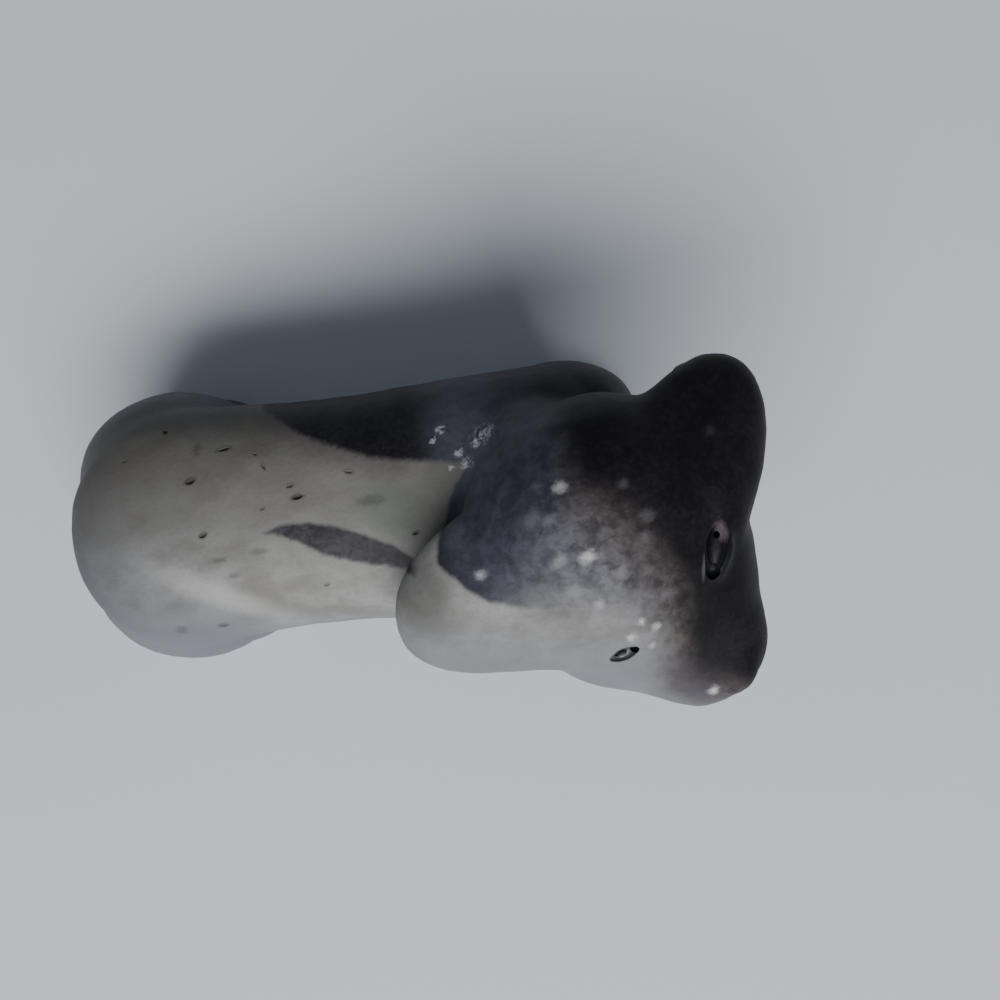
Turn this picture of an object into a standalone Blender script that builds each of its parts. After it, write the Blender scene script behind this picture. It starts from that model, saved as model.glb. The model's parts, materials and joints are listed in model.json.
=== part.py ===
"""A small dog carved from one block of soapstone.

It stands on four short legs, with its back rising from the rump to the withers and
its large head turned to its right. Metres, +Z up, the body along +X. The origin is on
the floor, under the middle of the figure.
"""

from math import cos, pi, radians, sin, sqrt

import bmesh
import bpy
import numpy as np
from mathutils import Matrix, Vector
from mathutils.bvhtree import BVHTree

# Body: a block from rump to chest, its hips and shoulders this far apart
BODY_LENGTH = 0.0540
BODY_TURN = radians(5.3)
WHEELBASE = 0.0390
RUMP_WIDTH = 0.0236
WAIST_WIDTH = 0.0211
WAIST_PLACE = 0.0155
SHOULDER_WIDTH = 0.0236
SPINE_BOW = -0.0005
RUMP_SIDE = -0.0010
RUMP_HEIGHT = 0.0235
WAIST_HEIGHT = 0.0268
WITHERS_HEIGHT = 0.0300
BELLY_HEIGHT = 0.0105
RUMP_BROADEST = 0.0170
CHEST_BROADEST = 0.0190
RUMP_ROUNDING = 0.0120
CHEST_ROUNDING = 0.0080

# Hind legs: haunches that swell outwards over broad feet
HAUNCH_LENGTH = 0.0200
HAUNCH_WIDTH = 0.0182
HAUNCH_HEIGHT = 0.0205
HAUNCH_LEVEL = 0.0110
HAUNCH_FORWARD = 0.0022
HIND_SPREAD = 0.0272
HIND_SHIFT = -0.0006
HIND_STAGGER = -0.0006
HIND_FOOT_LENGTH = 0.0146
HIND_FOOT_REACH = 0.0010
HIND_FOOT_WIDTH = 0.0100
HIND_FOOT_HEIGHT = 0.0064
LEG_TAPER = 0.90

# Front legs: short posts under the shoulders, with paws that reach forward
FORE_SPREAD = 0.0240
FORE_FORWARD = 0.0010
FORE_LEG_LENGTH = 0.0110
FORE_LEG_WIDTH = 0.0094
FORE_LEG_HEIGHT = 0.0210
FORE_SHOULDER_LENGTH = 0.0145
FORE_SHOULDER_WIDTH = 0.0104
FORE_SHOULDER_HEIGHT = 0.0176
PAW_LENGTH = 0.0150
PAW_HEIGHT = 0.0058

# Toes: parted by two grooves in every foot
TOE_GROOVE_WIDTH = 0.0009
TOE_LENGTH = 0.0032
TOE_REACH = radians(52)
TOE_SPACING = 0.0030

# Neck: a thick column from the shoulders up into the skull
NECK_WIDTH = 0.0196
NECK_LENGTH = 0.0190
NECK_FOOT = 0.0200
NAPE_LEAN = 0.0080
NAPE_WIDTH = 0.0130
NAPE_LENGTH = 0.0090

# Head: a wedge, measured from the line between the ears
HEAD_TURN = radians(-51.8)
HEAD_FORWARD = 0.0006
HEAD_SIDE = -0.0019
HEAD_FRONT = 0.0211
HEAD_BACK = 0.0080
CROWN_HEIGHT = 0.0400
CROWN_PLACE = 0.0020
CHEEK_HEIGHT = 0.0310
JAW_HEIGHT = 0.0240
CHIN_RISE = 0.0012
SKULL_WIDTH = 0.0212
BROW_WIDTH = 0.0186
BROW_HEIGHT = 0.0368
BROW_PLACE = 0.0118
MUZZLE_WIDTH = 0.0130
MUZZLE_PLACE = 0.0162
MUZZLE_LEVEL = 0.0298
MUZZLE_TOP = 0.0345
MUZZLE_ROUNDING = 0.0062

# Ears: thick flaps that leave the crown sideways and hang at their tips
EAR_SPAN = 0.0366
EAR_ROOT_SPACING = 0.0120
EAR_MIDDLE_SPACING = 0.0248
EAR_ROOT_HEIGHT = 0.0356
EAR_TIP_HEIGHT = 0.0296
EAR_ROOT_FRONT = 0.0116
LEFT_EAR_FRONT = 0.0090
RIGHT_EAR_FRONT = 0.0070
EAR_TIP_FRONT = 0.0034
LEFT_EAR_BACK = 0.0026
RIGHT_EAR_BACK = 0.0060
EAR_TIP_WIDTH = 0.0060
EAR_OFFSET = 0.0010
EAR_THICKNESS = 0.0054
EAR_TIP_ROUNDING = 0.0034
LOBE_LENGTH = 0.0078
LOBE_INSET = 0.0012
LOBE_THICKNESS = 0.0050
LOBE_HANG = 0.0060

# Eyes: almonds in hollows that run down to the muzzle, with a small pit behind
EYE_PLACE = 0.0103
EYE_SPACING = 0.0112
EYE_SIDE = -0.0004
EYE_SLANT = radians(46)
EYE_LENGTH = 0.0048
EYE_WIDTH = 0.0021
EYE_DEPTH = 0.0010
EYEBALL_LENGTH = 0.0036
EYEBALL_WIDTH = 0.0015
EYEBALL_BACK = 0.0005
EYEBALL_SINK = 0.0008
EYE_PIT = 0.0008
ALMOND_TAPER = 0.35

# Nose and mouth: a soft pad over a line carved round the muzzle
NOSE_WIDTH = 0.0050
NOSE_HEIGHT = 0.0038
NOSE_LEVEL = 0.0318
NOSE_LENGTH = 0.0034
NOSE_SET_BACK = 0.0019
NOSTRIL_WIDTH = 0.0012
NOSTRIL_HEIGHT = 0.0010
NOSTRIL_LEVEL = 0.0314
NOSTRIL_SPACING = 0.0024
MOUTH_LEVEL = 0.0276
MOUTH_REACH = radians(112)
MOUTH_WIDTH = 0.0006

# Tail: in low relief down the back of the rump
TAIL_WIDTH = 0.0036
TAIL_THICKNESS = 0.0044
TAIL_ROOT_HEIGHT = 0.0190
TAIL_LENGTH = 0.0110
TAIL_RELIEF = 0.0007

# The fineness of the carving's surface, its polish, and the finished number of faces
GRAIN = 0.00045
POLISH_PASSES = 20
CARVED_GRAIN = 0.00022
FINISHED_FACES = 11800

FLOOR = 0.0
SINK = 0.0015


def clear_scene():
    for old in list(bpy.data.objects):
        bpy.data.objects.remove(old, do_unlink=True)


def eased(keys, place):
    """The sizes at one place on a smooth curve through the keys, rows of (place, sizes)."""
    rows = np.array(keys)
    places = rows[:, 0]
    sizes = rows[:, 1:]
    slopes = np.gradient(sizes, places, axis=0)
    i = int(np.clip(np.searchsorted(places, place) - 1, 0, len(places) - 2))
    step = places[i + 1] - places[i]
    t = (place - places[i]) / step
    rise = (1 + 2 * t) * (1 - t) ** 2 * sizes[i] + t * t * (3 - 2 * t) * sizes[i + 1]
    return rise + step * t * (1 - t) * ((1 - t) * slopes[i] - t * slopes[i + 1])


def end_share(depth, rounding):
    """The share of the full section at this depth inside a rounded end."""
    if depth >= rounding:
        return 1.0
    return sqrt(1 - (1 - depth / rounding) ** 2)


def new_object(name, mesh):
    data = bpy.data.meshes.new(name)
    mesh.to_mesh(data)
    mesh.free()
    made = bpy.data.objects.new(name, data)
    bpy.context.scene.collection.objects.link(made)
    return made


def loft(name, keys, first_round, last_round, fullness=2.2, rings=30, points=40):
    """A closed body along its own X with both ends rounded off.

    Each key is (place, side, half width, bottom, widest level, top). Fullness 2 is an
    oval section, and more is squarer.
    """
    mesh = bmesh.new()
    first = keys[0][0]
    last = keys[-1][0]
    loops = []
    for ring in range(rings):
        place = first + (last - first) * (1 - cos(pi * (ring + 0.5) / rings)) / 2
        side, half_width, bottom, level, top = eased(keys, place)
        share = end_share(place - first, first_round) * end_share(last - place, last_round)
        loop = []
        for point in range(points):
            angle = 2 * pi * point / points
            across = abs(cos(angle)) ** (2 / fullness) * (1 if cos(angle) > 0 else -1)
            upright = abs(sin(angle)) ** (2 / fullness)
            reach = top - level if sin(angle) > 0 else bottom - level
            loop.append(
                mesh.verts.new(
                    (place, side + share * half_width * across, level + share * reach * upright)
                )
            )
        loops.append(loop)
    for one, two in zip(loops, loops[1:]):
        for k in range(points):
            after = (k + 1) % points
            mesh.faces.new((one[k], two[k], two[after], one[after]))
    mesh.faces.new(loops[0])
    mesh.faces.new(reversed(loops[-1]))
    bmesh.ops.recalc_face_normals(mesh, faces=mesh.faces)
    return new_object(name, mesh)


def ball(name, centre, radii, turn=0.0):
    """An ellipsoid, its first radius turned about the vertical from +X."""
    mesh = bmesh.new()
    bmesh.ops.create_uvsphere(mesh, u_segments=32, v_segments=20, radius=1)
    place = Matrix.Translation(centre) @ Matrix.Rotation(turn, 4, "Z")
    bmesh.ops.transform(mesh, matrix=place @ Matrix.Diagonal((*radii, 1)), verts=mesh.verts)
    return new_object(name, mesh)


def post(name, low, low_radii, high, high_radii):
    """An upright oval post whose section changes from its low end to its high end."""
    mesh = bmesh.new()
    bmesh.ops.create_cone(
        mesh, cap_ends=True, segments=32, radius1=1, radius2=1, depth=1
    )
    for vert in mesh.verts:
        rise = vert.co.z + 0.5
        centre = Vector(low).lerp(Vector(high), rise)
        radii = Vector(low_radii).lerp(Vector(high_radii), rise)
        vert.co = centre + Vector((vert.co.x * radii.x, vert.co.y * radii.y, 0))
    return new_object(name, mesh)


def torso():
    end = BODY_LENGTH / 2
    hip = -WHEELBASE / 2
    waist = hip + WAIST_PLACE
    shoulder = WHEELBASE / 2
    rump = (RUMP_SIDE, RUMP_WIDTH / 2, BELLY_HEIGHT, RUMP_BROADEST, RUMP_HEIGHT)
    middle = (RUMP_BROADEST + CHEST_BROADEST) / 2
    chest = (SPINE_BOW, SHOULDER_WIDTH / 2, BELLY_HEIGHT, CHEST_BROADEST, WITHERS_HEIGHT)
    keys = (
        (-end, *rump),
        (hip, *rump),
        (waist, SPINE_BOW, WAIST_WIDTH / 2, BELLY_HEIGHT, middle, WAIST_HEIGHT),
        (shoulder, *chest),
        (end, *chest),
    )
    return [loft("torso", keys, RUMP_ROUNDING, CHEST_ROUNDING)]


def hind_foot_place(side):
    """The middle of a hind foot, under the outer side of its haunch."""
    across = side * (HIND_SPREAD - HIND_FOOT_WIDTH) / 2 + HIND_SHIFT
    ahead = HAUNCH_FORWARD - WHEELBASE / 2 + side * HIND_STAGGER / 2
    return Vector((ahead, across, FLOOR))


def hind_leg(side):
    foot_place = hind_foot_place(side)
    haunch_side = side * (HIND_SPREAD - HAUNCH_WIDTH) / 2 + HIND_SHIFT
    haunch = ball(
        "haunch",
        (foot_place.x, haunch_side, HAUNCH_LEVEL),
        (HAUNCH_LENGTH / 2, HAUNCH_WIDTH / 2, HAUNCH_HEIGHT / 2),
    )
    radii = (HIND_FOOT_LENGTH / 2, HIND_FOOT_WIDTH / 2)
    shank = post(
        "shank",
        foot_place - Vector((0, 0, SINK)),
        (*radii, 0),
        foot_place + Vector((0, 0, HAUNCH_LEVEL)),
        (radii[0] * LEG_TAPER, radii[1] * LEG_TAPER, 0),
    )
    toes = foot_place + Vector((HIND_FOOT_REACH, 0, 0))
    return [haunch, shank, foot_ball("hind_foot", toes, radii, HIND_FOOT_HEIGHT)]


def foot_ball(name, place, radii, height):
    """A rounded foot that is broadest a little above the floor."""
    broadest = height / 4
    return ball(name, place + Vector((0, 0, broadest)), (*radii, height - broadest))


def paw_place(side):
    """The middle of a front paw, ahead of its leg."""
    ahead = WHEELBASE / 2 + FORE_FORWARD + (PAW_LENGTH - FORE_LEG_LENGTH) / 2
    return Vector((ahead, side * (FORE_SPREAD - FORE_LEG_WIDTH) / 2, FLOOR))


def fore_leg(side):
    paw = paw_place(side)
    radii = Vector((FORE_LEG_LENGTH / 2, FORE_LEG_WIDTH / 2, 0))
    low = paw - Vector(((PAW_LENGTH - FORE_LEG_LENGTH) / 2, 0, SINK))
    high = Vector((low.x, low.y - side * SINK, FORE_LEG_HEIGHT))
    leg = post("fore_leg", low, radii, high, radii * LEG_TAPER)
    middle = (low + high) / 2
    shoulder = ball(
        "shoulder",
        (middle.x, middle.y, CHEST_BROADEST - SINK),
        (FORE_SHOULDER_LENGTH / 2, FORE_SHOULDER_WIDTH / 2, FORE_SHOULDER_HEIGHT / 2),
    )
    toes = foot_ball("paw", paw, (PAW_LENGTH / 2, radii.y), PAW_HEIGHT)
    return [leg, shoulder, toes]


def neck():
    """A column that leans forward, from between the shoulders up into the crown."""
    base = Vector(((WHEELBASE - NAPE_LEAN) / 2, 0, NECK_FOOT))
    top = head_place() @ Vector((0, 0, CROWN_HEIGHT - EAR_THICKNESS / 2))
    low_radii = (NECK_LENGTH / 2, NECK_WIDTH / 2, 0)
    high_radii = (NAPE_LENGTH / 2, NAPE_WIDTH / 2, 0)
    return [post("neck", base, low_radii, top, high_radii)]


def head_place():
    """Where the head's own frame stands: over the shoulders, turned to the dog's right."""
    place = Vector((WHEELBASE / 2 + HEAD_FORWARD, HEAD_SIDE, 0))
    return Matrix.Translation(place) @ Matrix.Rotation(HEAD_TURN, 4, "Z")


def skull():
    crown = SKULL_WIDTH / 2
    behind = (CROWN_PLACE + BROW_PLACE) / 2
    chin = JAW_HEIGHT + CHIN_RISE
    keys = (
        (-HEAD_BACK, 0, crown, JAW_HEIGHT, CHEEK_HEIGHT, CROWN_HEIGHT - CHIN_RISE),
        (CROWN_PLACE, 0, crown, JAW_HEIGHT, CHEEK_HEIGHT, CROWN_HEIGHT),
        (behind, 0, crown, JAW_HEIGHT, CHEEK_HEIGHT, CROWN_HEIGHT - CHIN_RISE),
        (BROW_PLACE, 0, BROW_WIDTH / 2, JAW_HEIGHT, CHEEK_HEIGHT, BROW_HEIGHT),
        (MUZZLE_PLACE, 0, MUZZLE_WIDTH / 2, chin, MUZZLE_LEVEL, MUZZLE_TOP),
        (HEAD_FRONT, 0, MUZZLE_WIDTH / 2, chin, MUZZLE_LEVEL, MUZZLE_TOP),
    )
    wedge = loft("skull", keys, HEAD_BACK, MUZZLE_ROUNDING)
    wedge.matrix_world = head_place()
    nose_place = Vector((HEAD_FRONT - NOSE_SET_BACK, 0, NOSE_LEVEL))
    radii = (NOSE_LENGTH / 2, NOSE_WIDTH / 2, NOSE_HEIGHT / 2)
    nose = ball("nose", head_place() @ nose_place, radii, HEAD_TURN)
    return [wedge, nose]


def ear(side):
    """A flap lofted outwards from the crown, with a lobe that hangs beside the cheek."""
    root = Vector((0, side * EAR_ROOT_SPACING / 2, EAR_ROOT_HEIGHT))
    tip = Vector((0, side * EAR_SPAN / 2, EAR_TIP_HEIGHT))
    outward = (tip - root).normalized()
    backward = Vector((-side, 0, 0))
    length = (tip - root).length
    middle = length * (EAR_MIDDLE_SPACING - EAR_ROOT_SPACING) / (EAR_SPAN - EAR_ROOT_SPACING)
    middle_front = LEFT_EAR_FRONT if side > 0 else RIGHT_EAR_FRONT
    back = LEFT_EAR_BACK if side > 0 else RIGHT_EAR_BACK
    tip_front = EAR_TIP_FRONT + side * EAR_OFFSET
    half = EAR_THICKNESS / 2
    keys = []
    for place, front, rear in (
        (0, EAR_ROOT_FRONT, -back),
        (middle, middle_front, -back),
        (length, tip_front, tip_front - EAR_TIP_WIDTH),
    ):
        keys.append((place, -side * (front + rear) / 2, (front - rear) / 2, -half, 0, half))
    flap = loft("ear", keys, SINK, EAR_TIP_ROUNDING, fullness=2.1)
    axes = Matrix((outward, backward, outward.cross(backward))).transposed().to_4x4()
    flap.matrix_world = head_place() @ Matrix.Translation(root) @ axes
    across = side * ((EAR_SPAN - LOBE_THICKNESS) / 2 - LOBE_INSET)
    level = EAR_TIP_HEIGHT - LOBE_HANG / 2 + half / 2
    hang = Vector((tip_front - EAR_TIP_WIDTH / 2, across, level))
    radii = (LOBE_LENGTH / 2, LOBE_THICKNESS / 2, (LOBE_HANG + half) / 2)
    lobe = ball("ear_lobe", head_place() @ hang, radii, HEAD_TURN)
    return [flap, lobe]


def tail():
    """A short round tail that lies against the back of the rump."""
    radii = (TAIL_THICKNESS / 2, TAIL_WIDTH / 2, 0)
    behind = radii[0] - TAIL_RELIEF - BODY_LENGTH / 2
    root = Vector((behind + radii[0], 0, TAIL_ROOT_HEIGHT))
    low = Vector((behind, 0, TAIL_ROOT_HEIGHT - TAIL_LENGTH))
    tip = ball("tail_tip", low, (radii[0], radii[1], radii[0]))
    return [post("tail", low, radii, root, radii), tip]


def apply_modifiers(solid):
    """Makes the object's mesh what its modifiers show, and clears them."""
    graph = bpy.context.evaluated_depsgraph_get()
    finished = bpy.data.meshes.new_from_object(solid.evaluated_get(graph))
    old = solid.data
    solid.modifiers.clear()
    solid.data = finished
    bpy.data.meshes.remove(old)


def together(name, forms):
    """One object that holds all the forms, which are removed."""
    mesh = bmesh.new()
    for form in forms:
        piece = form.data.copy()
        piece.transform(form.matrix_world)
        mesh.from_mesh(piece)
        bpy.data.meshes.remove(piece)
        bpy.data.objects.remove(form, do_unlink=True)
    return new_object(name, mesh)


def one_block(name, forms):
    """The forms made one skin, with their meeting lines polished away."""
    block = together(name, forms)
    skin = block.modifiers.new("Skin", "REMESH")
    skin.mode = "VOXEL"
    skin.voxel_size = GRAIN
    polish = block.modifiers.new("Polish", "SMOOTH")
    polish.factor = 0.5
    polish.iterations = POLISH_PASSES
    apply_modifiers(block)
    return block


def cut(solid, cutter, operation="DIFFERENCE"):
    """Cuts the cutter away from the solid, or joins it on, and removes it."""
    change = solid.modifiers.new("Cut", "BOOLEAN")
    change.operation = operation
    change.solver = "EXACT"
    change.object = cutter
    apply_modifiers(solid)
    bpy.data.objects.remove(cutter, do_unlink=True)


def flatten_soles(solid):
    """Saws the feet off level, so that the figure stands on four flat soles."""
    mesh = bmesh.new()
    mesh.from_mesh(solid.data)
    for vert in mesh.verts:
        if abs(vert.co.z - FLOOR) < GRAIN / 2:
            vert.co.z = FLOOR
    whole = mesh.verts[:] + mesh.edges[:] + mesh.faces[:]
    down = (0, 0, -1)
    bmesh.ops.bisect_plane(mesh, geom=whole, plane_co=(0, 0, FLOOR), plane_no=down, clear_outer=True)
    bmesh.ops.holes_fill(mesh, edges=[edge for edge in mesh.edges if edge.is_boundary])
    bmesh.ops.triangulate(mesh, faces=[face for face in mesh.faces if len(face.verts) > 4])
    mesh.to_mesh(solid.data)
    mesh.free()


def skin_of(solid):
    """The solid's surface in a form that lines can be cast at."""
    mesh = bmesh.new()
    mesh.from_mesh(solid.data)
    tree = BVHTree.FromBMesh(mesh)
    mesh.free()
    return tree


def almond(name, axes, centre, length, width, depth):
    """A pointed oval drop with its length, width and depth along three axes."""
    mesh = bmesh.new()
    bmesh.ops.create_uvsphere(mesh, u_segments=18, v_segments=10, radius=1)
    turn = Matrix.Rotation(pi / 2, 4, "Y")
    bmesh.ops.transform(mesh, matrix=turn, verts=mesh.verts)
    for vert in mesh.verts:
        taper = 1 - ALMOND_TAPER * vert.co.x ** 2
        vert.co.y *= taper
        vert.co.z *= taper
    sizes = Matrix.Diagonal((length / 2, width / 2, depth, 1))
    place = Matrix.Translation(centre) @ axes @ sizes
    bmesh.ops.transform(mesh, matrix=place, verts=mesh.verts)
    return new_object(name, mesh)


def eye_forms(skin, side):
    """The hollow of one eye, the pit behind it, and the eyeball that is left in the hollow."""
    place = Vector((EYE_PLACE, EYE_SIDE + side * EYE_SPACING / 2, CROWN_HEIGHT * 2))
    point, outward, _, _ = skin.ray_cast(head_place() @ place, Vector((0, 0, -1)))
    slant = HEAD_TURN - side * EYE_SLANT
    along = Vector((cos(slant), sin(slant), 0))
    along = (along - outward * along.dot(outward)).normalized()
    axes = Matrix((along, outward.cross(along), outward)).transposed().to_4x4()
    socket = almond("socket", axes, point, EYE_LENGTH, EYE_WIDTH, EYE_DEPTH)
    behind = point - along * (EYE_LENGTH + EYE_PIT) / 2
    pit_place, _, _, _ = skin.ray_cast(behind + outward * EYE_LENGTH, -outward)
    pit = almond("eye_pit", axes, pit_place, EYE_PIT, EYE_PIT, EYE_PIT / 2)
    centre = point - outward * EYEBALL_SINK - along * EYEBALL_BACK
    eyeball = almond("eyeball", axes, centre, EYEBALL_LENGTH, EYEBALL_WIDTH, EYE_DEPTH)
    return [socket, pit], [eyeball]


def groove(name, path, width, level):
    """A round bar along the path, with level pointing across it, its ends drawn in."""
    mesh = bmesh.new()
    sides = 6
    loops = []
    for i, point in enumerate(path):
        before = path[max(i - 1, 0)]
        after = path[min(i + 1, len(path) - 1)]
        along = (after - before).normalized()
        across = along.cross(level).normalized()
        radius = width / 2 * sin(pi * (i + 0.5) / len(path)) ** 0.25
        loop = []
        for k in range(sides):
            angle = 2 * pi * k / sides
            place = point + (across * cos(angle) + across.cross(along) * sin(angle)) * radius
            loop.append(mesh.verts.new(place))
        loops.append(loop)
    for one, two in zip(loops, loops[1:]):
        for k in range(sides):
            after = (k + 1) % sides
            mesh.faces.new((one[k], two[k], two[after], one[after]))
    mesh.faces.new(loops[0])
    mesh.faces.new(reversed(loops[-1]))
    bmesh.ops.recalc_face_normals(mesh, faces=mesh.faces)
    return new_object(name, mesh)


def mouth_line(skin):
    """The line of the mouth, carved round the muzzle."""
    centre = head_place() @ Vector((HEAD_FRONT - MUZZLE_ROUNDING, 0, MOUTH_LEVEL))
    steps = 23
    path = []
    for i in range(steps):
        angle = HEAD_TURN + MOUTH_REACH * (2 * i / (steps - 1) - 1)
        point, _, _, _ = skin.ray_cast(centre, Vector((cos(angle), sin(angle), 0)))
        path.append(point)
    return [groove("mouth_line", path, MOUTH_WIDTH, Vector((0, 0, 1)))]


def nostril(skin, side):
    ahead = Vector((HEAD_FRONT * 2, side * NOSTRIL_SPACING / 2, NOSTRIL_LEVEL))
    back = head_place().to_3x3() @ Vector((-1, 0, 0))
    point, outward, _, _ = skin.ray_cast(head_place() @ ahead, back)
    along = Vector((0, 0, 1)).cross(outward).normalized()
    axes = Matrix((along, outward.cross(along), outward)).transposed().to_4x4()
    return [almond("nostril", axes, point, NOSTRIL_WIDTH, NOSTRIL_HEIGHT, NOSTRIL_HEIGHT / 2)]


def toe_grooves(skin, tip, height):
    """Two grooves that part the toes of one foot, from the floor up over its front."""
    steps = 9
    grooves = []
    for side in (1, -1):
        centre = tip + Vector((-TOE_LENGTH, side * TOE_SPACING / 2, height / 4))
        path = []
        for i in range(steps):
            angle = TOE_REACH * i / (steps - 1)
            point, _, _, _ = skin.ray_cast(centre, Vector((cos(angle), 0, sin(angle))))
            path.append(point)
        path.insert(0, Vector((path[0].x, path[0].y, FLOOR - SINK)))
        grooves.append(groove("toe_groove", path, TOE_GROOVE_WIDTH, Vector((0, 1, 0))))
    return grooves


def simplify(solid, faces):
    """Draws the carved skin again in even faces, then brings it down to its number of triangles."""
    fine = solid.modifiers.new("Fine", "REMESH")
    fine.mode = "VOXEL"
    fine.voxel_size = CARVED_GRAIN
    apply_modifiers(solid)
    solid.data.calc_loop_triangles()
    fewer = solid.modifiers.new("Fewer", "DECIMATE")
    fewer.ratio = min(1.0, faces / len(solid.data.loop_triangles))
    apply_modifiers(solid)


def set_on_origin(solid):
    """Turns the figure to its heading and puts its middle over the origin."""
    solid.data.transform(Matrix.Rotation(BODY_TURN, 4, "Z"))
    corners = np.array([vert.co for vert in solid.data.vertices])
    low = corners.min(axis=0)
    high = corners.max(axis=0)
    middle = (low + high) / 2
    solid.data.transform(Matrix.Translation((-middle[0], -middle[1], -low[2])))


def soapstone():
    stone = bpy.data.materials.new("soapstone")
    stone.use_nodes = True
    shader = stone.node_tree.nodes["Principled BSDF"]
    shader.inputs["Base Color"].default_value = (0.22, 0.21, 0.19, 1)
    shader.inputs["Roughness"].default_value = 0.5
    shader.inputs["Metallic"].default_value = 0.0
    return stone


clear_scene()
forms = torso() + neck() + skull() + tail()
for side in (1, -1):
    forms += hind_leg(side) + fore_leg(side) + ear(side)
dog = one_block("dog_figurine", forms)

skin = skin_of(dog)
hollows = mouth_line(skin)
eyeballs = []
paw_reach = Vector((PAW_LENGTH / 2, 0, 0))
hind_reach = Vector((HIND_FOOT_REACH + HIND_FOOT_LENGTH / 2, 0, 0))
for side in (1, -1):
    carved, left_standing = eye_forms(skin, side)
    hollows += carved + nostril(skin, side)
    hollows += toe_grooves(skin, paw_place(side) + paw_reach, PAW_HEIGHT)
    hollows += toe_grooves(skin, hind_foot_place(side) + hind_reach, HIND_FOOT_HEIGHT)
    eyeballs += left_standing
cut(dog, together("hollows", hollows))
cut(dog, together("eyeballs", eyeballs), "UNION")
simplify(dog, FINISHED_FACES)
flatten_soles(dog)
set_on_origin(dog)
dog.data.materials.append(soapstone())
dog.data.shade_smooth()
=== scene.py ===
"""A small soapstone dog, carved from one block, seen from straight above."""

import json
from math import atan2, cos, degrees, radians, sin

import bpy
from mathutils import Matrix, Vector, noise
from mathutils.bvhtree import BVHTree

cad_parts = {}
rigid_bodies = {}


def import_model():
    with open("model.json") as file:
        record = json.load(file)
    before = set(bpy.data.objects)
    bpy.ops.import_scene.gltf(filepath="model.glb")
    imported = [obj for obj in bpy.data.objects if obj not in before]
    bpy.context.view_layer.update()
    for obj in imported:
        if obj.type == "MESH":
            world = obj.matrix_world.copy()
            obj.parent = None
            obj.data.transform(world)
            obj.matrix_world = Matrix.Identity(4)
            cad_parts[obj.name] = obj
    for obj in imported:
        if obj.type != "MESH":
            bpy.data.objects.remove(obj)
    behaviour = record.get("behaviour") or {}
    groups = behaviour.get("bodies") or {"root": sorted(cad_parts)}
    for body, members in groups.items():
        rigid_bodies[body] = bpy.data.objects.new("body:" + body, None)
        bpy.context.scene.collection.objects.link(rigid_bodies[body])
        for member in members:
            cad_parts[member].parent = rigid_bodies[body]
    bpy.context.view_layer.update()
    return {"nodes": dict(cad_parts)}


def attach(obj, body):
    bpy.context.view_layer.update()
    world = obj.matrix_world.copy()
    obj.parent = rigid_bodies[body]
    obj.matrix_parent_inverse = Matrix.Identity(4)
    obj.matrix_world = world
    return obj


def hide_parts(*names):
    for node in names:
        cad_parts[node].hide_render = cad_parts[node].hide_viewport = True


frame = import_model()


# The camera
# It looks straight down from close above the dog, a little ahead of its middle,
# so that the tall head looks larger than the low rump.
CAMERA_PLACE = (0.0097, 0.00185, 0.120)

camera_data = bpy.data.cameras.new("overhead_camera")
camera_data.sensor_width = 36
camera_data.lens = 38.6
camera_data.clip_start = 0.01
camera = bpy.data.objects.new("overhead_camera", camera_data)
camera.location = CAMERA_PLACE
bpy.context.scene.collection.objects.link(camera)
bpy.context.scene.camera = camera


# The carved dog
# One block of soapstone, a soft stone that is cut with knives and rasps, then rubbed
# smooth and waxed. Its skin is drawn again with a finer grain, and the eyes, the chips
# and the hand's unevenness are carved in it. Places are in millimetres.
MM = 0.001
STONE_GRAIN = 0.33 * MM
SOLE_HEIGHT = 0.12 * MM
OVER_THE_DOG = 60
SOFTEST_EDGE = radians(48)

# the head's middle, seen from above, and how far it is turned from straight ahead
HEAD_PLACE = Vector((15.8, 1.5))
HEAD_TURN = radians(-46.5)

# the marks of the rasp and of rubbing: name, size of the waves and how deep they are
UNEVENNESS = (("rasp_waves", 7.5 * MM, 0.34 * MM), ("rubbed_flats", 2.6 * MM, 0.10 * MM))

# each eye: middle, heading, length and width of the almond, and how much of it the eyeball fills
EYES = (
    (Vector((26.35, -2.0, 36.2)), radians(-95), 4.9, 1.9, 0.42),
    (Vector((19.4, -10.2, 35.4)), radians(24), 2.5, 1.1, 0.20),
)
EYE_FILLING = (3.1, 1.6, 0.9)
SOCKET_DEPTH = 0.45
EYEBALL_HEIGHT = 0.80
EYEBALL_SUNK = 0.66
EYEBALL_BACK = 0.07

# the pits at an eye's rear and front, as shares of its length: place and size
REAR_PIT = (-0.24, 0.06)
FRONT_PIT = (0.36, 0.15)
PIT_DEPTH = 1.1

# dark chips and pits: place, heading in degrees, length, width and how deep they go
CHIPS = (
    (-18.0, 3.5, 20, 1.00, 0.50, 0.20),
    (-7.9, 2.1, 15, 1.05, 0.42, 0.26),
    (-8.6, 3.1, 20, 0.70, 0.36, 0.12),
    (-15.0, 6.4, 12, 1.30, 0.38, 0.16),
    (-21.0, 8.1, -60, 0.60, 0.40, 0.14),
    (-16.7, -1.3, 25, 0.80, 0.42, 0.18),
    (-11.1, 1.1, 25, 0.60, 0.26, 0.08),
    (-11.1, 4.8, -60, 0.70, 0.30, 0.10),
    (-3.4, 4.3, -10, 0.80, 0.34, 0.10),
    (2.5, -1.0, 20, 0.55, 0.28, 0.16),
    (-5.5, -5.6, 20, 0.60, 0.28, 0.10),
    (-12.0, 5.9, -25, 0.50, 0.24, 0.08),
    (-24.6, 5.4, 40, 0.50, 0.24, 0.10),
    (-15.6, -9.6, 10, 0.90, 0.35, 0.10),
)

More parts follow.
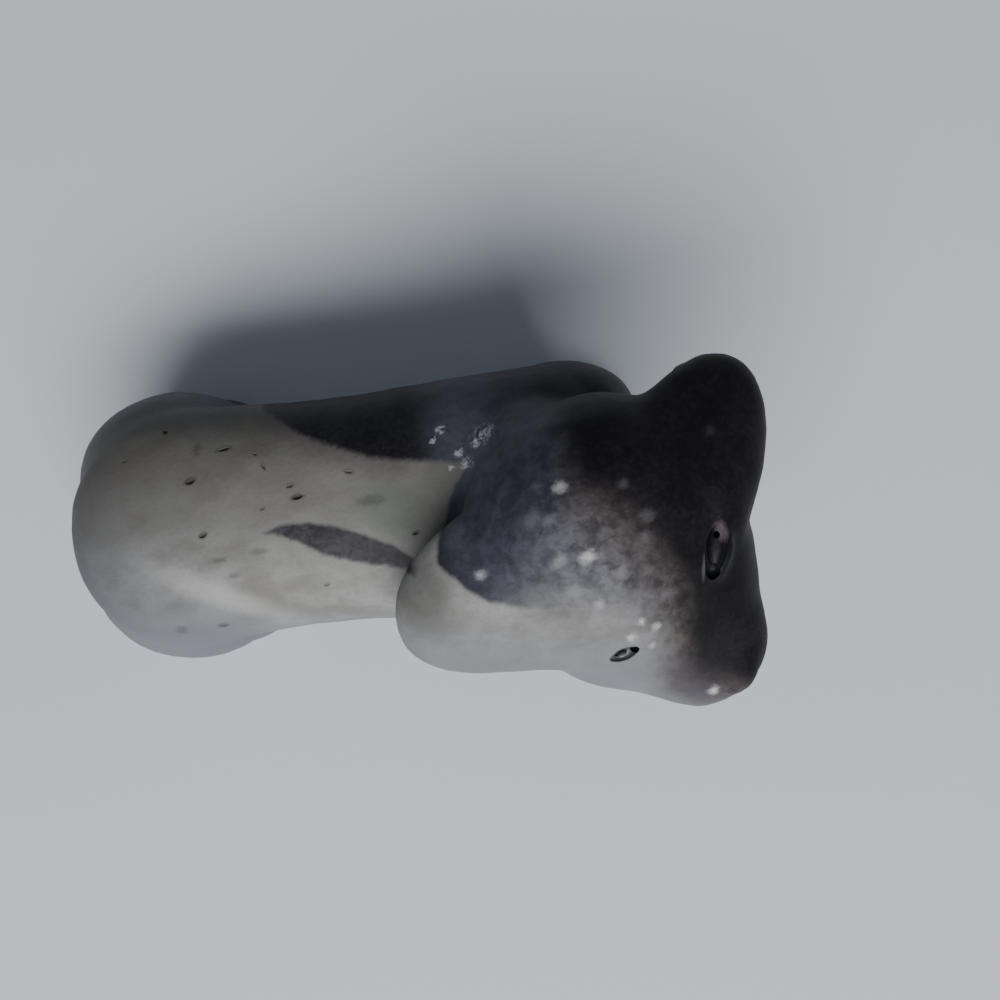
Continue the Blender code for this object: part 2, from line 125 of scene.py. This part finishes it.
# rough crystals that stand out of the crease behind the neck: place and reach
CRYSTALS = (
    (8.2, 7.4, 0.85),
    (7.7, 6.7, 0.45),
    (4.5, 7.9, 0.42),
    (3.9, 7.0, 0.28),
    (7.0, 5.0, 0.50),
    (6.3, 5.8, 0.40),
    (5.5, 4.6, 0.32),
)
CREASE_START = 3 * MM
CREASE_END = 10 * MM
CREASE_LEVEL = 20 * MM
CRYSTAL_SPREAD = 1.4
CRYSTAL_LUMPS = 2.3
CRYSTAL_HEIGHT = 0.55 * MM


def pick_only(one):
    bpy.ops.object.select_all(action="DESELECT")
    one.select_set(True)
    bpy.context.view_layer.objects.active = one


def settle(one, kind, **settings):
    """Adds a modifier, sets it and makes it part of the mesh."""
    pick_only(one)
    modifier = one.modifiers.new(kind.title(), kind)
    for name, setting in settings.items():
        setattr(modifier, name, setting)
    bpy.ops.object.modifier_apply(modifier=modifier.name)


def skin_of(one):
    return BVHTree.FromObject(one, bpy.context.evaluated_depsgraph_get())


def on_top(skin, across, along):
    """Where the stone's top lies at this place, and the way out of it there."""
    start = Vector((across, along, OVER_THE_DOG)) * MM
    point, outward, _, _ = skin.ray_cast(start, Vector((0, 0, -1)))
    return point, outward


def drop(name, point, outward, heading, radii):
    """A pointed oval lying in the surface, its radii in millimetres."""
    bpy.ops.object.select_all(action="DESELECT")
    bpy.ops.mesh.primitive_uv_sphere_add(segments=28, ring_count=16, radius=1)
    made = bpy.context.object
    made.name = name
    made.data.transform(Matrix.Rotation(radians(90), 4, "Y"))
    length, width, height = radii
    pointedness = 0.38
    for corner in made.data.vertices:
        taper = 1 - pointedness * corner.co.x ** 2
        corner.co = Vector((corner.co.x * length, corner.co.y * width * taper, corner.co.z * height))
    ahead = Vector((cos(heading), sin(heading), 0))
    ahead = (ahead - outward * ahead.dot(outward)).normalized()
    axes = Matrix((ahead, outward.cross(ahead), outward)).transposed().to_4x4()
    made.data.transform(Matrix.Translation(point) @ axes @ Matrix.Scale(MM, 4))
    return made


def joined(name, pieces):
    bpy.ops.object.select_all(action="DESELECT")
    for piece in pieces:
        piece.select_set(True)
    bpy.context.view_layer.objects.active = pieces[0]
    bpy.ops.object.join()
    pieces[0].name = name
    return pieces[0]


def carve(one, cutter, operation="DIFFERENCE"):
    settle(one, "BOOLEAN", operation=operation, solver="EXACT", object=cutter)
    bpy.data.objects.remove(cutter)


def raise_crystals(corner):
    """Lifts one corner of the skin where a crystal stands out of the crease."""
    for across, along, reach in CRYSTALS:
        away = (corner.co.xy / MM - Vector((across, along))).length
        spread = reach * CRYSTAL_SPREAD
        if away < spread:
            rough = noise.noise(corner.co / MM * CRYSTAL_LUMPS)
            corner.co += corner.normal * max(0, rough) * CRYSTAL_HEIGHT * (1 - away / spread)


pick_only(frame["nodes"]["dog_figurine"])
bpy.ops.object.duplicate()
dog = bpy.context.object
dog.name = "carved_dog"
bpy.ops.object.parent_clear(type="CLEAR_KEEP_TRANSFORM")
bpy.ops.object.transform_apply(location=True, rotation=True, scale=True)
bpy.ops.object.mode_set(mode="EDIT")
bpy.ops.mesh.select_all(action="SELECT")
bpy.ops.mesh.remove_doubles(threshold=0.000001)
bpy.ops.object.mode_set(mode="OBJECT")

# the eyes' rough hollows are filled a little proud, which leaves a raised lid round each
skin = skin_of(dog)
lids = []
for middle, heading, *_ in EYES:
    point, outward = on_top(skin, middle.x, middle.y)
    point = Vector((point.x, point.y, middle.z * MM))
    lids.append(drop("lid", point, outward, heading, EYE_FILLING))
dog = joined("carved_dog", [dog] + lids)
settle(dog, "REMESH", mode="VOXEL", voxel_size=STONE_GRAIN)
settle(dog, "SMOOTH", factor=0.5, iterations=6)

for name, size, depth in UNEVENNESS:
    waves = bpy.data.textures.new(name, "CLOUDS")
    waves.noise_scale = size
    settle(dog, "DISPLACE", texture=waves, strength=depth, mid_level=0.5, texture_coords="LOCAL")

for corner in dog.data.vertices:
    if corner.co.z < SOLE_HEIGHT:
        corner.co.z = 0
    if corner.co.z > CREASE_LEVEL and CREASE_START < corner.co.x < CREASE_END:
        raise_crystals(corner)

# the almond grooves, the eyeballs left inside them, the pits in them, and the chips
skin = skin_of(dog)
sockets = []
eyeballs = []
pits = []
for middle, heading, length, width, filled in EYES:
    point, outward = on_top(skin, middle.x, middle.y)
    ahead = Vector((cos(heading), sin(heading), 0))
    sockets.append(drop("socket", point, outward, heading, (length / 2, width / 2, SOCKET_DEPTH)))
    ball_place = point - outward * EYEBALL_SUNK * MM - ahead * length * EYEBALL_BACK * MM
    ball_radii = (length * filled, width * filled, EYEBALL_HEIGHT)
    eyeballs.append(drop("eyeball", ball_place, outward, heading, ball_radii))
    for share, size in (REAR_PIT, FRONT_PIT):
        pit_place = point + ahead * length * share * MM
        pit_radii = (length * size, length * size * 0.85, PIT_DEPTH)
        pits.append(drop("pit", pit_place, outward, heading, pit_radii))
carve(dog, joined("sockets", sockets))
carve(dog, joined("eyeballs", eyeballs), "UNION")
carve(dog, joined("pits", pits))
chips = []
for across, along, turned, length, width, depth in CHIPS:
    point, outward = on_top(skin, across, along)
    chips.append(drop("chip", point, outward, radians(turned), (length / 2, width / 2, depth)))
carve(dog, joined("chips", chips))
pick_only(dog)
bpy.ops.object.shade_smooth_by_angle(angle=SOFTEST_EDGE)


class Value:
    """A shader value of the stone. Arithmetic on values adds the Math nodes it needs."""

    tree = None
    seam_span = 80

    def __init__(self, socket):
        self.socket = socket

    @classmethod
    def node(cls, kind, settings, inputs, output=0):
        made = cls.tree.nodes.new("ShaderNode" + kind)
        for name, setting in settings.items():
            if name == "stops":
                cls.set_stops(made.color_ramp, setting)
            else:
                setattr(made, name, setting)
        for name, given in inputs.items():
            if isinstance(given, Value):
                cls.tree.links.new(given.socket, made.inputs[name])
            else:
                made.inputs[name].default_value = given
        return cls(made.outputs[output])

    @staticmethod
    def set_stops(ramp, stops):
        """Gives a ramp grey stops, as rising pairs of place and level, on a smooth curve."""
        ramp.interpolation = "CARDINAL"
        while len(ramp.elements) < len(stops):
            ramp.elements.new(0.5)
        for element, (position, level) in zip(ramp.elements, stops):
            element.position = position
            element.color = (level, level, level, 1)

    @classmethod
    def reckon(cls, operation, one, two):
        return cls.node("Math", {"operation": operation}, {0: one, 1: two})

    def __add__(self, other):
        return self.reckon("ADD", self, other)

    def __radd__(self, other):
        return self.reckon("ADD", other, self)

    def __sub__(self, other):
        return self.reckon("SUBTRACT", self, other)

    def __rsub__(self, other):
        return self.reckon("SUBTRACT", other, self)

    def __mul__(self, other):
        return self.reckon("MULTIPLY", self, other)

    def __rmul__(self, other):
        return self.reckon("MULTIPLY", other, self)

    def __pow__(self, other):
        return self.reckon("POWER", self, other)

    def over(self, other):
        """The larger of the two values."""
        return self.reckon("MAXIMUM", self, other)

    def rise(self, low, high):
        """0 below low and 1 above high, with a soft step between them."""
        step = {"interpolation_type": "SMOOTHSTEP"}
        return self.node("MapRange", step, {"Value": self, "From Min": low, "From Max": high})

    def seam(self, points):
        """The height over this value of a seam drawn through the points, in millimetres."""
        span = self.seam_span
        stops = [(a / span + 0.5, b / span + 0.5) for a, b in points]
        drawn = self.node("ValToRGB", {"stops": stops}, {0: self * (1 / span) + 0.5})
        return (drawn - 0.5) * span


def clouds(place, size, detail, roughness, distortion=0.0):
    """Clouds whose lumps are about this many millimetres across, around 0.5."""
    inputs = {"Vector": place, "Scale": 1 / size, "Detail": detail}
    inputs.update({"Roughness": roughness, "Distortion": distortion})
    return Value.node("TexNoise", {}, inputs)


def blend(low, high, share):
    """One colour turning into another."""
    return Value.node("Mix", {"data_type": "RGBA"}, {0: share, 6: low, 7: high}, 2)


def stretched(place, heading, factor):
    """The place drawn out along one heading, so that a pattern on it runs that way."""
    turn = {"Vector": place, "Angle": radians(-heading)}
    turned = Value.node("VectorRotate", {"rotation_type": "Z_AXIS"}, turn)
    return Value.node("VectorMath", {"operation": "MULTIPLY"}, {0: turned, 1: (1 / factor, 1, 1)})


def turned_from(across, along, heading):
    """How far ahead of a place and how far to its left the surface is, along a heading."""
    ahead = (x - across) * cos(heading) + (y - along) * sin(heading)
    aside = (y - along) * cos(heading) - (x - across) * sin(heading)
    return ahead, aside


def patch(across, along, turned, length, width, inner, outer, ragged=0):
    """1 inside a lying oval and 0 outside it. Its rim is soft from inner to outer."""
    ahead, aside = turned_from(across, along, radians(turned))
    ahead = ahead * (2 / length)
    aside = aside * (2 / width)
    rim = (ahead * ahead + aside * aside) ** 0.5
    if ragged:
        rim = rim + fray * ragged
    return 1 - rim.rise(inner, outer)


stone = bpy.data.materials.new("soapstone")
stone.use_nodes = True
Value.tree = stone.node_tree
shader = stone.node_tree.nodes["Principled BSDF"]
metres = Value.node("TexCoord", {}, {}, "Object")
place = Value.node("VectorMath", {"operation": "SCALE"}, {0: metres, "Scale": 1 / MM})
x = Value.node("SeparateXYZ", {}, {0: place}, "X")
y = Value.node("SeparateXYZ", {}, {0: place}, "Y")
z = Value.node("SeparateXYZ", {}, {0: place}, "Z")

# clouds of falling size in the stone, and how far each seam of colour strays from its line
cloud = clouds(place, 5.5, 5.0, 0.6)
streak = clouds(stretched(place, 12, 2.2), 2.2, 5.0, 0.62)
speckle = clouds(place, 1.15, 4.0, 0.62, 0.4)
grain = clouds(place, 0.5, 4.0, 0.7)
wander = clouds(place, 3.0, 5.0, 0.6) - 0.5
fray = clouds(place, 0.55, 4.0, 0.7) - 0.5
stray = wander * 1.3 + fray * 1.1

# the seams, as points seen from above: the left flank's, the crease behind the neck,
# the edge of the light right ear, and the black crown's along and beside the head
FLANK_SEAM = (
    (-13.6, 12.5), (-12.2, 10.4), (-10.7, 9.3), (-9.0, 8.2), (-7.0, 7.2), (-5.1, 6.5),
    (-1.9, 5.6), (2.6, 5.2), (7.0, 5.0), (14.0, 5.2),
)
CREASE_SEAM = (
    (-14.0, 5.6), (-6.5, 4.8), (-3.2, 4.7), (-1.3, 4.75), (0.7, 5.1), (2.1, 5.4),
    (3.6, 6.1), (5.0, 6.9),
)
EAR_SEAM = (
    (3.0, -1.6), (5.0, -3.3), (6.6, -4.7), (8.5, -6.0), (10.1, -6.5), (11.6, -6.75),
    (13.8, -6.8), (20.0, -7.4), (32.0, -9.0),
)
CROWN_SEAM = (
    (-12.0, 6.0), (-6.0, 4.2), (-3.0, 2.6), (-1.0, 1.8), (1.0, 2.4), (4.0, 2.7), (7.5, 2.6),
    (9.8, 2.2), (12.2, 0.9), (15.0, -1.2), (17.0, -1.4), (19.5, 0.0), (22.0, 1.0),
)
HEAD_TOP_LEVEL = 36
upper = z.rise(15, 19)
past_flank = y - x.seam(FLANK_SEAM)
past_crease = x - y.seam(CREASE_SEAM)
past_ear = y - x.seam(EAR_SEAM) + (HEAD_TOP_LEVEL - z) * 0.25
ahead, aside = turned_from(HEAD_PLACE.x, HEAD_PLACE.y, HEAD_TURN)
past_crown = aside + stray - ahead.seam(CROWN_SEAM)

# where each kind of stone lies: 1 in it and 0 outside it
flank = (past_flank + stray * 0.55).rise(-0.35, 0.45)
behind_neck = (past_crease + stray * 0.3).rise(-0.2, 0.3)
above_ear = (past_ear + stray * 0.35).rise(-0.3, 0.35)
dark = flank.over(behind_neck * above_ear)
on_head = behind_neck * z.rise(22, 26)


def light_stone():
    """Olive grey, with painted shade on the back's far side from the window, on the low haunch, at
    the ear's back and over the upper rump, a painted bluish reflection of the sheet that makes it
    cooler and lighter low down on the right, and a painted highlight along the flank.
    """
    LIGHT_OLIVE = (0.185, 0.180, 0.165, 1)
    LIGHT_GREY = (0.295, 0.293, 0.290, 1)
    DULL_GREY = (0.150, 0.148, 0.135, 1)
    BACK_SHADE_OLIVE = (0.125, 0.120, 0.108, 1)
    HAUNCH_SHADE_GREY = (0.095, 0.102, 0.122, 1)
    EAR_SHADE_OLIVE = (0.095, 0.094, 0.090, 1)
    SHEET_REFLECTION_GREY = (0.175, 0.182, 0.205, 1)
    RUMP_SHADE_BROWN = (0.085, 0.077, 0.064, 1)
    NECK_GREEN = (0.125, 0.148, 0.128, 1)
    SEAM_BROWN = (0.090, 0.075, 0.078, 1)
    FLANK_HIGHLIGHT_GREY = (0.440, 0.435, 0.420, 1)
    pale = blend(LIGHT_OLIVE, LIGHT_GREY, (cloud * 0.45 + streak * 0.55).rise(0.36, 0.62))
    dull = (grain * 0.7 + streak * 0.3).rise(0.53, 0.72)
    pale = blend(pale, DULL_GREY, dull * 0.45)
    # painted shade: the back darker and more olive on its far side from the window, streaked
    back_far_side_shade = (y + stray * 1.5).rise(-6.5, 1.5) * (1 - behind_neck)
    pale = blend(pale, BACK_SHADE_OLIVE, back_far_side_shade * (0.45 + streak * 0.35))
    # painted shade with a bluish cast on the low haunch at the rear
    haunch = (1 - z.rise(19, 26)) * (1 - x.rise(-16, -9))
    pale = blend(pale, HAUNCH_SHADE_GREY, haunch * 0.85)
    # painted shade at the back end of the right ear, where it meets the back
    ear_back_shade = patch(3.2, -5.6, -62, 8.0, 5.5, 0.3, 1.4) * z.rise(22, 25)
    pale = blend(pale, EAR_SHADE_OLIVE, ear_back_shade * 0.75)
    # painted reflection of the sheet: the stone cooler and lighter low down on the right, toward the
    # window
    sheet_reflection_side = 1 - y.rise(-12.5, -6.5)
    pale = blend(pale, SHEET_REFLECTION_GREY, sheet_reflection_side * 0.85)
    # painted shade over the upper rump, away from the window, broken up by clouds
    rump = (y * 0.075 - x * 0.03 + cloud * 1.5).rise(1.075, 1.975) * upper
    pale = blend(pale, RUMP_SHADE_BROWN, rump * 0.70)
    by_neck = patch(0.6, 0.9, -15, 7.5, 5.0, 0.3, 1.25) * upper
    pale = blend(pale, NECK_GREEN, by_neck * (0.35 + speckle * 0.5))
    by_seam = (past_flank + stray * 1.6).rise(-2.6, 0.6) * x.rise(-16, -9) * (1 - x.rise(0, 4))
    pale = blend(pale, SEAM_BROWN, by_seam * (0.35 + speckle * 0.7))
    # painted highlight: a pale streak along the right flank where it rounds over toward the window
    flank_highlight = patch(-15.5, -6.6, -19, 15, 2.6, 0.2, 1.3) * upper
    return blend(pale, FLANK_HIGHLIGHT_GREY, flank_highlight * 0.5)


def dark_stone():
    """Near black along the flank, and blue-grey at the nape: dark stone with a painted bluish
    reflection of the sheet, made lighter along the crease by painted light.
    """
    DEEP_BLUE_AND_REFLECTION = (0.024, 0.026, 0.038, 1)
    BLUE_GREY_AND_REFLECTION = (0.056, 0.058, 0.082, 1)
    CREASE_LIGHT_GREY = (0.110, 0.108, 0.145, 1)
    FLANK_BLACK = (0.0075, 0.0072, 0.0090, 1)
    FLANK_GREY = (0.0220, 0.0210, 0.0270, 1)
    # the nape: dark stone with a painted bluish reflection of the sheet, mottled
    nape = blend(DEEP_BLUE_AND_REFLECTION, BLUE_GREY_AND_REFLECTION, (speckle * 0.6 + cloud * 0.4).rise(0.35, 0.68))
    # painted light: the nape lighter and greyer along the crease behind the neck, speckled
    crease_light = (1 - (past_crease + stray).rise(0.6, 3.2)) * y.rise(-4, 0)
    nape = blend(nape, CREASE_LIGHT_GREY, crease_light * (0.25 + speckle * 0.8))
    side = blend(FLANK_BLACK, FLANK_GREY, (grain * 0.5 + cloud * 0.5).rise(0.4, 0.7))
    to_nape = (x + y * 0.2).rise(3.0, 7.5) * (1 - y.rise(8, 15) * 0.45)
    return blend(side, nape, to_nape)


def speckled_head(colour):
    """Mottled stone between the nape and the black crown, bluish behind and brown in front."""
    SLATE = (0.038, 0.038, 0.050, 1)
    MISTY_GREY = (0.140, 0.140, 0.160, 1)
    DARK_TAWNY = (0.024, 0.019, 0.020, 1)
    TAWNY = (0.095, 0.076, 0.074, 1)
    MUZZLE_GREY = (0.075, 0.066, 0.082, 1)
    CROWN_BLACK = (0.0060, 0.0050, 0.0062, 1)
    CROWN_BROWN = (0.0200, 0.0165, 0.0210, 1)
    mottle = (speckle * 0.55 + clouds(place, 2.6, 4.0, 0.6) * 0.45).rise(0.36, 0.64)
    over_cheek = (past_ear + stray * 2.4).rise(-3.6, 3.4)
    mottled = blend(pale, blend(SLATE, MISTY_GREY, mottle), over_cheek)
    mottled = blend(mottled, blend(DARK_TAWNY, TAWNY, mottle), past_crown.rise(-6.0, -0.5))
    from_nape = (x - y * 0.42 + stray * 1.8).rise(9.8, 17.8)
    colour = blend(colour, mottled, from_nape * on_head * above_ear.over(x.rise(11, 16)))
    muzzle = patch(25.6, -12.6, -40, 5.4, 3.6, 0.5, 1.4) * z.rise(28, 30)
    colour = blend(colour, MUZZLE_GREY, muzzle * 0.75)
    black = blend(CROWN_BLACK, CROWN_BROWN, (grain * 0.4 + cloud * 0.6).rise(0.42, 0.7))
    return blend(colour, black, past_crown.rise(-2.4, 1.0) * on_head)


# the vein on the back: a lens that is drawn out to a point behind and ends at the neck
VEIN_MIDDLE = (
    (-11.4, -1.0), (-8.6, -0.9), (-6.3, -1.4), (-3.7, -2.0), (-1.6, -2.5), (0.9, -3.1), (3.0, -3.9),
)
VEIN_HALF = (
    (-11.4, 0.0), (-9.8, 0.42), (-7.3, 1.05), (-5.0, 1.4), (-2.4, 1.35), (-0.5, 1.1), (0.9, 0.95),
    (2.4, 0.5),
)


def vein_on_back(colour):
    VEIN_BLACK = (0.012, 0.011, 0.016, 1)
    VEIN_GREY = (0.042, 0.039, 0.052, 1)
    off_middle = ((y + stray * 0.35 - x.seam(VEIN_MIDDLE)) ** 2) ** 0.5
    vein = 1 - (off_middle - x.seam(VEIN_HALF)).rise(-0.35, 0.2)
    vein = vein * x.rise(-11.5, -10.8) * (1 - x.rise(2.2, 3.4)) * upper * (1 - behind_neck)
    vein_stone = blend(VEIN_BLACK, VEIN_GREY, (grain * 0.5 + speckle * 0.5).rise(0.38, 0.62))
    return blend(colour, vein_stone, vein * 0.92)


# white spots on the head, grains of the stone and, at 14.2, 2.8 and 16.3, -2.4, painted highlights:
# place, reach and strength
GRAINS_AND_GLINTS = (
    (14.2, 2.8, 0.62, 0.75), (16.3, -2.4, 0.72, 0.85), (8.2, -4.0, 0.52, 0.55),
    (18.9, 3.0, 0.55, 0.09), (20.8, 0.7, 0.70, 0.12), (17.3, -6.0, 0.55, 0.40),
    (20.6, -7.5, 0.42, 0.80), (21.8, -7.9, 0.42, 0.70), (19.9, -8.8, 0.45, 0.95),
    (21.6, -9.5, 0.34, 0.55), (27.0, -13.6, 0.50, 1.00), (26.2, 7.3, 0.60, 0.05),
    (12.0, 0.3, 0.90, 0.14), (13.4, 0.4, 0.70, 0.16), (14.2, -2.7, 0.65, 0.25),
    (20.6, -0.9, 0.70, 0.12), (12.4, 2.9, 0.45, 0.08), (17.6, -0.6, 0.60, 0.12),
    (19.0, -3.6, 0.70, 0.18), (22.6, -5.4, 0.70, 0.14), (15.2, -5.0, 0.70, 0.20),
)

# dull dark smudges on the back: place, heading in degrees, length and width
SMUDGES = (
    (-1.5, 1.8, 10, 2.6, 1.2), (-11.5, -2.7, 8, 1.9, 0.7), (-15.1, -3.5, 10, 1.5, 0.6),
    (-14.0, -4.9, 12, 1.8, 0.5), (-19.5, -10.1, 5, 1.6, 0.9), (-17.6, 6.3, 60, 1.6, 1.0),
)
GRAIN_AND_GLINT_WHITE = (0.56, 0.55, 0.58, 1)
CRYSTAL_WHITE = (0.46, 0.46, 0.50, 1)
CHIP_BROWN = (0.030, 0.026, 0.025, 1)
EYE_SHADE_BLACK = (0.010, 0.013, 0.014, 1)
LID_HIGHLIGHT_PINK = (0.200, 0.155, 0.170, 1)
BROW_GREY = (0.140, 0.120, 0.130, 1)


def white_grains_and_glints():
    white = 0.0
    for across, along, reach, strength in GRAINS_AND_GLINTS:
        spot = patch(across, along, 30, reach * 2.2, reach * 1.7, -0.1, 1.35, ragged=1.6)
        white = (spot * strength).over(white)
    return white * on_head


def crystals_in_crease():
    sparkle = 0.0
    for across, along, reach in CRYSTALS:
        spot = patch(across, along, 40, reach * 3.0, reach * 2.2, 0.4, 1.0, ragged=2.4)
        sparkle = spot.over(sparkle)
    return sparkle * z.rise(24, 26) * grain.rise(0.42, 0.53)


def chips_and_smudges():
    """The dark floors of the chips, darker in a deep one, and the smudges between them."""
    chipped = 0.0
    for across, along, turned, length, width, depth in CHIPS:
        spot = patch(across, along, turned, length * 1.3, width * 1.5, 0.3, 1.4, ragged=1.2)
        chipped = (spot * min(1.0, depth * 5)).over(chipped)
    for across, along, turned, length, width in SMUDGES:
        spot = patch(across, along, turned, length, width, 0.3, 1.3, ragged=1.8)
        chipped = (spot * 0.45).over(chipped)
    return chipped * upper


def painted_eye_shade_and_highlight(colour):
    """Painted shade in the eyes' grooves and front pits, a painted pinkish highlight on the raised
    lid, and a grey line by the brow.
    """
    for middle, heading, length, width, filled in EYES:
        almond = (middle.x, middle.y, degrees(heading), length, width)
        ball_rim = filled * 1.2
        groove = patch(*almond, 0.75, 1.1, ragged=0.5)
        groove = groove * (1 - patch(*almond, ball_rim, ball_rim + 0.3, ragged=0.5))
        pit_x = middle.x + cos(heading) * length * FRONT_PIT[0]
        pit_y = middle.y + sin(heading) * length * FRONT_PIT[0]
        pit = patch(pit_x, pit_y, 0, length * 0.30, length * 0.27, 0.7, 1.05)
        # painted shade in the groove round each eyeball and in the front pit
        colour = blend(colour, EYE_SHADE_BLACK, (groove * 0.7).over(pit))
    on_brow = z.rise(34, 35)
    # painted highlight: a pinkish light on the raised lid at the eye's rear end
    lid = patch(26.8, -0.5, -75, 1.9, 1.1, 0.2, 1.3, ragged=1.2) * on_brow
    colour = blend(colour, LID_HIGHLIGHT_PINK, lid * 0.6)
    brow_line = patch(25.45, -3.4, -90, 2.4, 0.35, 0.3, 1.2, ragged=1) * on_brow
    return blend(colour, BROW_GREY, brow_line * 0.5)


pale = light_stone()
colour = blend(pale, dark_stone(), dark)
colour = speckled_head(colour)
colour = vein_on_back(colour)
# white grains of the stone, and painted highlights at the two brightest blurred spots
colour = blend(colour, GRAIN_AND_GLINT_WHITE, white_grains_and_glints() * 0.85)
sparkle = crystals_in_crease()
colour = blend(colour, CRYSTAL_WHITE, sparkle * 0.85)
chipped = chips_and_smudges()
colour = blend(colour, CHIP_BROWN, chipped * 0.8)
colour = painted_eye_shade_and_highlight(colour)
stone.node_tree.links.new(colour.socket, shader.inputs["Base Color"])

# a rubbed, waxed skin, duller where it is light, rough or chipped, with fine scratches
roughness = 0.46 + grain * 0.16 + (1 - dark) * 0.04 + sparkle * 0.1 + chipped * 0.2
stone.node_tree.links.new(roughness.socket, shader.inputs["Roughness"])
shader.inputs["Coat Weight"].default_value = 0.03
shader.inputs["Coat Roughness"].default_value = 0.30
shader.inputs["Specular IOR Level"].default_value = 0.17
scratches = clouds(stretched(place, 35, 4.0), 0.30, 2.0, 0.6)
height = scratches * 0.35 + grain + sparkle * 0.6
bump = Value.node("Bump", {}, {"Strength": 0.35, "Distance": 0.12 * MM, "Height": height})
stone.node_tree.links.new(bump.socket, shader.inputs["Normal"])

dog.data.materials.clear()
dog.data.materials.append(stone)
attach(dog, "root")
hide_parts("dog_figurine")


# The floor
# A plain pale sheet, wide enough to fill the picture. It isn't part of the dog.
bpy.ops.object.select_all(action="DESELECT")
bpy.ops.mesh.primitive_plane_add(size=3)
floor = bpy.context.object
floor.name = "pale_sheet"
sheet = bpy.data.materials.new("pale_sheet")
sheet.use_nodes = True
sheet_shader = sheet.node_tree.nodes["Principled BSDF"]
sheet_shader.inputs["Base Color"].default_value = (0.62, 0.66, 0.70, 1)
sheet_shader.inputs["Roughness"].default_value = 0.8
floor.data.materials.append(sheet)


# The light
# A wide soft window on the dog's right, and a dim pale room round it.
WINDOW_ASIDE = 0.50
WINDOW_HEIGHT = 0.60

window_data = bpy.data.lights.new("window", "AREA")
window_data.shape = "RECTANGLE"
window_data.size = 0.8
window_data.size_y = 0.36
window_data.energy = 8.6
window = bpy.data.objects.new("window", window_data)
window.location = (0.03, -WINDOW_ASIDE, WINDOW_HEIGHT)
window.rotation_euler = (atan2(WINDOW_ASIDE, WINDOW_HEIGHT), 0, 0)
bpy.context.scene.collection.objects.link(window)
room = bpy.data.worlds.new("room")
room.use_nodes = True
room_light = room.node_tree.nodes["Background"]
room_light.inputs["Color"].default_value = (0.80, 0.88, 1.0, 1)
room_light.inputs["Strength"].default_value = 0.17
bpy.context.scene.world = room
